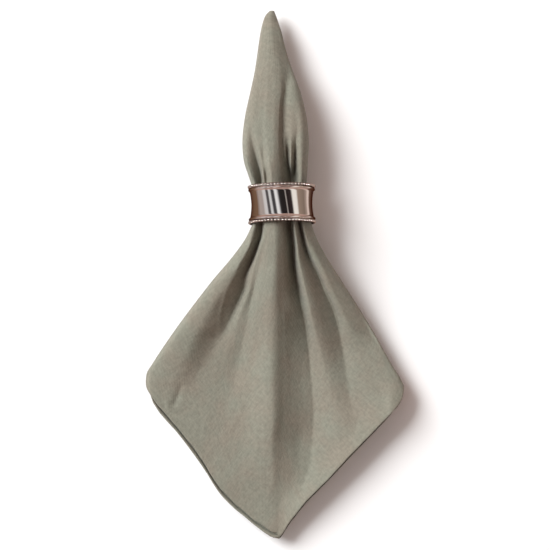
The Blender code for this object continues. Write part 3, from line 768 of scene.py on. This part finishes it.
def with_hem(points, columns, roll):
    """Adds the rows of the hem, rolled under at the cut edge."""
    ahead = points[-1] - points[-1 - HEM_ROWS_BACK]
    ahead[:, 2] = 0
    ahead /= np.linalg.norm(ahead, axis=1)[:, None]
    out = hem_out(columns)[:, None]
    up = np.array([0.0, 0.0, 1.0])
    turn = [points[-1] + ahead * out * share + up * rise for share, rise in roll]
    points = np.concatenate([points, turn])
    points[:, :, 2] = np.maximum(points[:, :, 2], 0)
    return points


def flat_places(points, turn, backwards, columns):
    """Where each point lies on the napkin opened flat, as shares of its side."""
    steps = np.linalg.norm(np.diff(points, axis=0), axis=2)
    down = np.concatenate([np.zeros((1, points.shape[1])), np.cumsum(steps, axis=0)])
    share = down / down[-1]
    round_loop = (columns + 2) / 4
    angle = (turn + np.where(backwards, 1 - round_loop, round_loop)) * math.pi / 2
    reach = QUARTER / np.maximum(np.abs(np.cos(angle)), np.abs(np.sin(angle)))
    return np.stack([0.5 + share * reach * np.cos(angle) / NAPKIN_SIDE,
                     0.5 + share * reach * np.sin(angle) / NAPKIN_SIDE], axis=-1)


def loop_columns(front, flap):
    """Places round the loop, closer together at the side folds."""
    even = np.linspace(-1, 1, front)
    eased = even - FRONT_EASE * np.sin(math.pi * even) / math.pi
    behind = np.linspace(0, 1, flap + 1)[1:] ** FLAP_EASE
    return np.concatenate([-1 - behind[::-1], eased, 1 + behind])


def build_cloth():
    """The napkin as one sheet: a grid round its middle point, folded back and forth into four layers."""
    parts, places = [], []
    for turn, layer in enumerate(LAYERS):
        columns = loop_columns(layer[0], layer[1])
        points = with_hem(layer_rows(columns, layer), columns, UPPER_ROLL if turn < 2 else LOWER_ROLL)
        flat = flat_places(points, turn, turn % 2 == 1, columns)
        if turn % 2:
            points, flat = points[:, ::-1], flat[:, ::-1]
        parts.append(points)
        places.append(flat)
    points = np.concatenate(parts + [parts[0][:, :1]], axis=1)
    places = np.concatenate(places + [places[0][:, :1]], axis=1)
    rows, columns = points.shape[:2]
    mesh = bmesh.new()
    uv = mesh.loops.layers.uv.new("UVMap")
    bmesh.ops.create_grid(mesh, x_segments=columns - 1, y_segments=rows - 1, size=1)
    for vert in mesh.verts:
        column = round((vert.co.x + 1) / 2 * (columns - 1))
        row = round((vert.co.y + 1) / 2 * (rows - 1))
        vert.co = points[row, column] * MM
        for corner in vert.link_loops:
            corner[uv].uv = places[row, column]
    bmesh.ops.remove_doubles(mesh, verts=mesh.verts, dist=WELD)
    bmesh.ops.reverse_faces(mesh, faces=mesh.faces)
    return new_piece("napkin_cloth", mesh)


def new_piece(name, mesh, smooth=True):
    """An object at the origin from the mesh's own places."""
    data = bpy.data.meshes.new(name)
    mesh.to_mesh(data)
    mesh.free()
    thing = bpy.data.objects.new(name, data)
    bpy.context.scene.collection.objects.link(thing)
    if smooth:
        data.shade_smooth()
    return thing


def ring_place():
    """Turns a ring made about Z at the origin to its place."""
    return (Matrix.Translation(Vector(RING_CENTRE) * MM)
            @ Matrix.Rotation(math.radians(RING_TURN_DEG), 4, "Z")
            @ Matrix.Rotation(math.radians(-90), 4, "X"))


def arc(radius, along, size, ends_deg, count):
    """Points of an arc in the ring's section, between two angles from the outward way."""
    turns = np.radians(np.linspace(*ends_deg, count))
    return [(radius + size * math.cos(t), along + size * math.sin(t)) for t in turns]


def tube(radius, ends, count):
    """Points along the waisted tube, which has this radius at its middle."""
    return [(radius + (NECK_RADIUS - WAIST_RADIUS) * (y / NECK_AT) ** 2, y)
            for y in np.linspace(*ends, count)]


def ring_profile():
    """The ring's wall as a closed outline: radius and place along its axis."""
    rim = arc(BEAD_SEAT - RIM_ROUND, RING_HALF - RIM_ROUND, RIM_ROUND, RIM_ARC_DEG, RIM_POINTS)
    seat = [(BEAD_SEAT, RING_HALF - SEAT_WIDTH), (BEAD_SEAT, MOULDING_AT + MOULDING_RADIUS + MOULDING_GAP)]
    moulding = arc(MOULDING_SEAT, MOULDING_AT, MOULDING_RADIUS, MOULDING_ARC_DEG, MOULDING_POINTS)
    upper = rim + seat + moulding
    waist = tube(WAIST_RADIUS, (NECK_AT - NECK_GAP, NECK_GAP - NECK_AT), WAIST_POINTS)
    lower = [(radius, -y) for radius, y in reversed(upper)]
    bore = tube(WAIST_RADIUS - BORE_WALL, (-RING_HALF, RING_HALF), BORE_POINTS)
    return upper + waist + lower + bore


def build_ring_wall():
    """The ring without its beads, spun round its axis."""
    mesh = bmesh.new()
    outline = [mesh.verts.new((radius * MM, 0, y * MM)) for radius, y in ring_profile()]
    for a, b in zip(outline, outline[1:] + outline[:1]):
        mesh.edges.new((a, b))
    bmesh.ops.spin(mesh, geom=list(mesh.verts) + list(mesh.edges), cent=(0, 0, 0), axis=(0, 0, 1),
                   angle=2 * math.pi, steps=RING_STEPS, use_merge=True)
    bmesh.ops.remove_doubles(mesh, verts=mesh.verts, dist=WELD)
    bmesh.ops.transform(mesh, matrix=ring_place(), verts=mesh.verts)
    bmesh.ops.recalc_face_normals(mesh, faces=mesh.faces)
    wall = new_piece("ring_wall", mesh)
    wall.data.set_sharp_from_angle(angle=math.radians(SHARP_DEG))
    return wall


def build_beads(name, along):
    """One row of beads, half sunk in the ring's rim."""
    mesh = bmesh.new()
    for n in range(BEADS):
        turn = 2 * math.pi * (n + 0.5) / BEADS
        at = Vector((math.cos(turn) * BEAD_CENTRE, math.sin(turn) * BEAD_CENTRE, along)) * MM
        bmesh.ops.create_icosphere(mesh, subdivisions=2, radius=BEAD_RADIUS * MM,
                                   matrix=Matrix.Translation(at))
    bmesh.ops.transform(mesh, matrix=ring_place(), verts=mesh.verts)
    return new_piece(name, mesh)


def linear(code):
    """A sRGB hex colour as linear red, green, blue and alpha."""
    parts = [int(code[i:i + 2], 16) / 255 for i in (0, 2, 4)]
    return tuple(v / 12.92 if v <= 0.04045 else ((v + 0.055) / 1.055) ** 2.4 for v in parts) + (1.0,)


def new_material(name):
    """A material with its node tree and its surface shader."""
    material = bpy.data.materials.new(name)
    material.use_nodes = True
    return material, material.node_tree, material.node_tree.nodes["Principled BSDF"]


def add(tree, kind, settings=None, values=None, links=None):
    """Adds a node with its settings, the values of its sockets and the links into them."""
    node = tree.nodes.new(kind)
    for key, value in (settings or {}).items():
        setattr(node, key, value)
    for key, value in (values or {}).items():
        node.inputs[key].default_value = value
    for key, source in (links or {}).items():
        tree.links.new(source, node.inputs[key])
    return node


def linen():
    """Washed plain-weave linen: matt, threads uneven both ways, its grey greener here and browner there."""
    material, tree, shader = new_material("washed_linen")
    flat = add(tree, "ShaderNodeUVMap", {"uv_map": "UVMap"})
    scaled = add(tree, "ShaderNodeVectorMath", {"operation": "SCALE"}, {"Scale": NAPKIN_SIDE},
                 {0: flat.outputs[0]})
    mm = scaled.outputs[0]
    threads = []
    for size in ((1 / SLUB_LENGTH, 1 / SLUB_WIDTH, 1), (1 / SLUB_WIDTH, 1 / SLUB_LENGTH, 1)):
        place = add(tree, "ShaderNodeMapping", values={"Scale": size}, links={"Vector": mm})
        threads.append(add(tree, "ShaderNodeTexNoise", {"noise_dimensions": "2D"},
                           {"Scale": 1.0, "Detail": 2.0, "Roughness": 0.6}, {"Vector": place.outputs[0]}))
    slubs = add(tree, "ShaderNodeMath", {"operation": "ADD"},
                links={0: threads[0].outputs[0], 1: threads[1].outputs[0]})
    mottle = add(tree, "ShaderNodeTexNoise", {"noise_dimensions": "2D"},
                 {"Scale": 1 / MOTTLE, "Detail": 3.0, "Roughness": 0.55}, {"Vector": mm})
    cast = add(tree, "ShaderNodeMapRange", None, {"From Min": CAST_RANGE[0], "From Max": CAST_RANGE[1]},
               {"Value": mottle.outputs[0]})
    base = add(tree, "ShaderNodeMix", {"data_type": "RGBA"},
               {MIX_FIRST: linear(LINEN_GREEN), MIX_SECOND: linear(LINEN_BROWN)}, {0: cast.outputs[0]})
    lighter = add(tree, "ShaderNodeMapRange", None,
                  {"From Min": SLUB_RANGE[0], "From Max": SLUB_RANGE[1],
                   "To Min": SLUB_LIGHTNESS[0], "To Max": SLUB_LIGHTNESS[1]}, {"Value": slubs.outputs[0]})
    shade = add(tree, "ShaderNodeVectorMath", {"operation": "SCALE"},
                links={0: base.outputs[MIX_RESULT], "Scale": lighter.outputs[0]})
    tree.links.new(shade.outputs[0], shader.inputs["Base Color"])
    split = add(tree, "ShaderNodeSeparateXYZ", links={0: mm})
    waves = []
    for way in (0, 1):
        turn = add(tree, "ShaderNodeMath", {"operation": "MULTIPLY"}, {1: math.pi / THREAD},
                   {0: split.outputs[way]})
        waves.append(add(tree, "ShaderNodeMath", {"operation": "SINE"}, links={0: turn.outputs[0]}))
    weave = add(tree, "ShaderNodeMath", {"operation": "MULTIPLY"},
                links={0: waves[0].outputs[0], 1: waves[1].outputs[0]})
    relief = add(tree, "ShaderNodeMath", {"operation": "MULTIPLY_ADD"}, {1: WEAVE_TO_SLUBS},
                 {0: weave.outputs[0], 2: slubs.outputs[0]})
    bump = add(tree, "ShaderNodeBump", None, {"Strength": RELIEF_STRENGTH, "Distance": RELIEF * MM},
               {"Height": relief.outputs[0]})
    tree.links.new(bump.outputs[0], shader.inputs["Normal"])
    shader.inputs["Roughness"].default_value = 0.88
    shader.inputs["Specular IOR Level"].default_value = 0.25
    shader.inputs["Sheen Weight"].default_value = 0.12
    shader.inputs["Sheen Roughness"].default_value = 0.5
    return material


def silver(name, shaded_rim):
    """Polished silver plate: a warm, bright mirror with faint rub marks and a brown edge tint that is a painted
    reflection of a table, with painted shade on the rim under the beads if wanted.
    """
    material, tree, shader = new_material(name)
    place = add(tree, "ShaderNodeTexCoord")
    rub = add(tree, "ShaderNodeTexNoise", None, {"Scale": RUB_MARKS / MM, "Detail": 3.0},
              {"Vector": place.outputs["Object"]})
    rough = add(tree, "ShaderNodeMapRange", None, {"To Min": RUB_ROUGHNESS[0], "To Max": RUB_ROUGHNESS[1]},
                {"Value": rub.outputs[0]})
    tree.links.new(rough.outputs[0], shader.inputs["Roughness"])
    shader.inputs["Base Color"].default_value = linear(SILVER)
    # Painted shade: the rim under and between the beads is darkened towards the ring's two ends
    if shaded_rim:
        axes = add(tree, "ShaderNodeSeparateXYZ", links={0: place.outputs["Object"]})
        along = add(tree, "ShaderNodeMath", {"operation": "SUBTRACT"}, {1: RING_CENTRE[1] * MM},
                    {0: axes.outputs["Y"]})
        reach = add(tree, "ShaderNodeMath", {"operation": "ABSOLUTE"}, links={0: along.outputs[0]})
        depth = add(tree, "ShaderNodeMapRange", None,
                    {"From Min": RIM_SHADE_FROM * MM, "From Max": RIM_SHADE_FULL * MM},
                    {"Value": reach.outputs[0]})
        colour = add(tree, "ShaderNodeMix", {"data_type": "RGBA"},
                     {MIX_FIRST: linear(SILVER), MIX_SECOND: linear(RIM_PAINTED_SHADE)}, {0: depth.outputs[0]})
        tree.links.new(colour.outputs[MIX_RESULT], shader.inputs["Base Color"])
    # A brown tint at grazing looks: a painted reflection of a brown table
    shader.inputs["Specular Tint"].default_value = linear(SILVER_EDGE_PAINTED_REFLECTION)
    shader.inputs["Metallic"].default_value = 1.0
    return material


def studio_white():
    """White painted studio floor, even and matt."""
    material, _, shader = new_material("studio_white")
    shader.inputs["Base Color"].default_value = linear(FLOOR_WHITE)
    shader.inputs["Roughness"].default_value = 0.8
    shader.inputs["Specular IOR Level"].default_value = 0.1
    return material


def build_floor():
    """The pale floor, which the ring doesn't mirror."""
    mesh = bmesh.new()
    bmesh.ops.create_grid(mesh, x_segments=8, y_segments=8, size=FLOOR_REACH)
    bmesh.ops.translate(mesh, vec=(0, 0, -FLOOR_DROP), verts=mesh.verts)
    floor = new_piece("studio_floor", mesh, smooth=False)
    floor.data.materials.append(studio_white())
    floor.visible_glossy = False


def build_lamp(name, way, distance, size, watts, colour):
    """A square soft lamp, turned to the origin."""
    light = bpy.data.lights.new(name, "AREA")
    light.size = size
    light.energy = watts
    light.color = colour
    lamp = bpy.data.objects.new(name, light)
    towards = Vector(way).normalized()
    lamp.location = towards * distance
    lamp.rotation_euler = towards.to_track_quat("Z", "Y").to_euler()
    bpy.context.scene.collection.objects.link(lamp)
    return lamp


def build_lights(beads):
    """A soft key light that the ring doesn't mirror, and a small lamp that lights only the beads."""
    key = build_lamp("key softbox", KEY_WAY, KEY_DISTANCE, KEY_SIZE, KEY_WATTS, KEY_COLOUR)
    key.visible_glossy = False
    glint = build_lamp("bead glint", GLINT_WAY, GLINT_DISTANCE, GLINT_SIZE, GLINT_WATTS, GLINT_COLOUR)
    lit = bpy.data.collections.new("lit by the bead glint")
    for row in beads:
        lit.objects.link(row)
    glint.light_linking.receiver_collection = lit


def build_room():
    """The dim warm room round the napkin: strips across it, and one colour towards both ends."""
    world = bpy.data.worlds.new("studio room")
    bpy.context.scene.world = world
    world.use_nodes = True
    tree = world.node_tree
    way = add(tree, "ShaderNodeTexCoord")
    axes = add(tree, "ShaderNodeSeparateXYZ", links={0: way.outputs["Generated"]})
    angle = add(tree, "ShaderNodeMath", {"operation": "ARCTAN2"},
                links={0: axes.outputs["X"], 1: axes.outputs["Z"]})
    turned = add(tree, "ShaderNodeMath", {"operation": "MULTIPLY_ADD"}, {1: 0.5 / math.pi, 2: 0.5},
                 {0: angle.outputs[0]})
    slanted = add(tree, "ShaderNodeMath", {"operation": "MULTIPLY_ADD"}, {1: ROOM_SLANT / 360},
                  {0: axes.outputs["Y"], 2: turned.outputs[0]})
    strips = add(tree, "ShaderNodeValToRGB", links={0: slanted.outputs[0]})
    stops = strips.color_ramp.elements
    while len(stops) < len(ROOM_STRIPS):
        stops.new(1.0)
    for stop, (degrees, code) in zip(stops, ROOM_STRIPS):
        stop.position = (degrees + 180) / 360
        stop.color = linear(code)
    aside = add(tree, "ShaderNodeMath", {"operation": "ABSOLUTE"}, links={0: axes.outputs["Y"]})
    share = add(tree, "ShaderNodeMapRange", {"interpolation_type": "SMOOTHSTEP"},
                {"From Min": ENDS_FROM, "From Max": ENDS_FULL}, {"Value": aside.outputs[0]})
    room = add(tree, "ShaderNodeMix", {"data_type": "RGBA"}, {MIX_SECOND: ROOM_ENDS},
               {0: share.outputs[0], MIX_FIRST: strips.outputs["Color"]})
    tree.links.new(room.outputs[MIX_RESULT], tree.nodes["Background"].inputs["Color"])


def build_camera():
    """Above the napkin, leaning a little towards its hem, as in the photo."""
    data = bpy.data.cameras.new("camera")
    data.sensor_width = SENSOR
    data.lens = SENSOR * CAMERA_DISTANCE / (PHOTO_SIDE * PIXEL)
    camera = bpy.data.objects.new("camera", data)
    tilt = math.radians(CAMERA_TILT_DEG)
    back = Vector((0, -math.sin(tilt), math.cos(tilt)))
    camera.location = (Vector(CAMERA_TARGET) + back * CAMERA_DISTANCE) * MM
    camera.rotation_euler = (tilt, 0, 0)
    bpy.context.scene.collection.objects.link(camera)
    bpy.context.scene.camera = camera


def main():
    """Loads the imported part, dresses it, and sets the floor, lights, room and camera round it."""
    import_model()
    build_camera()
    cloth = build_cloth()
    cloth.data.materials.append(linen())
    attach(cloth, "root")
    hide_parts("napkin")
    wall = build_ring_wall()
    rows = [build_beads("ring_beads_upper", BEAD_AT), build_beads("ring_beads_lower", -BEAD_AT)]
    # The wall's rim under the beads carries painted shade; the beads don't
    plate = silver("silver_plate", True)
    bead_plate = silver("silver_plate_beads", False)
    for piece, material in ((wall, plate), (rows[0], bead_plate), (rows[1], bead_plate)):
        piece.data.materials.append(material)
        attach(piece, "root")
    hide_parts("ring")
    build_floor()
    build_lights(rows)
    build_room()
    bpy.context.scene.view_settings.view_transform = "Standard"


main()
